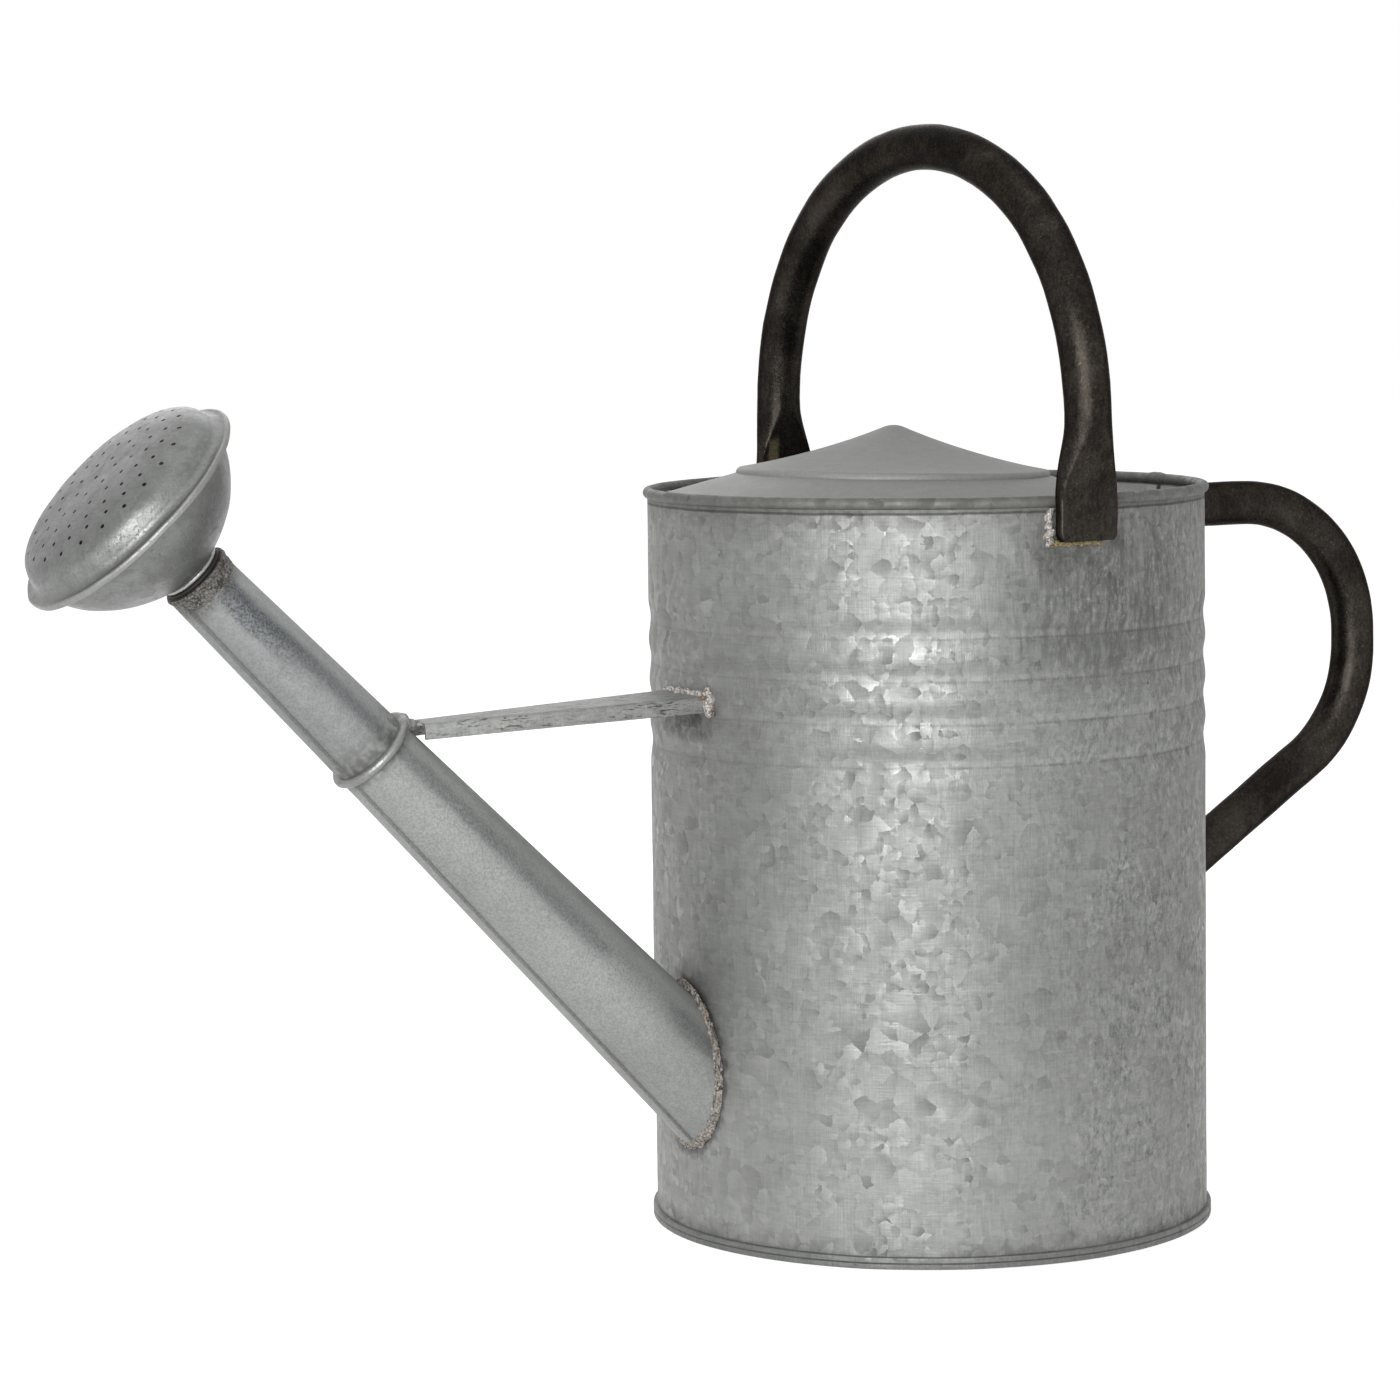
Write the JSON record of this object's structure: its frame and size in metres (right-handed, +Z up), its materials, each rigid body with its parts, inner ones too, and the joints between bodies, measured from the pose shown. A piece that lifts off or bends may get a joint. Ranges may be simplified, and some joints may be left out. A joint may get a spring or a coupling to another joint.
{
  "type": "watering can",
  "caption": "Metal watering can with a ribbed round body, conical half cover, braced long spout, carrying bow, rear grip and a push-fit rose that turns and pulls off.",
  "frame": {"origin": "middle of the foot ring, on the ground", "axes": "+Z up; the spout points to -X and the rear grip to +X; the carrying bow stands in the YZ plane"},
  "size_m": [0.5631, 0.2392, 0.4125],
  "materials": {
    "zinc_sheet": "hot-dip zinc coat on steel sheet, weathered matte with faint spangle",
    "solder": "rough wiped soft solder, matte and slightly pitted",
    "wire": "plain drawn steel wire, hidden in the rolled rim",
    "handle_tube": "steel tube with dark brown-black satin lacquer, worn at the ridges",
    "rubber": "black rubber washer"
  },
  "bodies": {
    "can": {"body_shell": "zinc_sheet", "rim_wire": "wire", "base_pan": "zinc_sheet", "hood": "zinc_sheet", "hood_solder": "solder", "spout_lower": "zinc_sheet", "spout_upper": "zinc_sheet", "spout_collar": "zinc_sheet", "spout_socket": "zinc_sheet", "spout_root_solder": "solder", "spout_tip_solder": "solder", "brace": "zinc_sheet", "brace_body_solder": "solder", "brace_spout_solder": "solder", "bow_handle": "handle_tube", "bow_solder_near": "solder", "bow_solder_far": "solder", "rear_handle": "handle_tube", "rear_solder_upper": "solder", "rear_solder_lower": "solder"},
    "seal": {"rose_seal": "rubber"},
    "rose": {"rose_neck": "zinc_sheet", "rose_neck_solder": "solder", "rose_bowl": "zinc_sheet", "rose_face": "zinc_sheet"}
  },
  "joints": [
    {"name": "rose_pull_off", "type": "slide", "parent": "can", "child": "seal", "axis": [-0.7071, 0, 0.7071], "range_m": [0, 0.03]},
    {"name": "rose_turn", "type": "hinge", "parent": "seal", "child": "rose", "pos_m": [-0.29733, 0, 0.25783], "axis": [-0.7071, 0, 0.7071], "continuous": true}
  ]
}
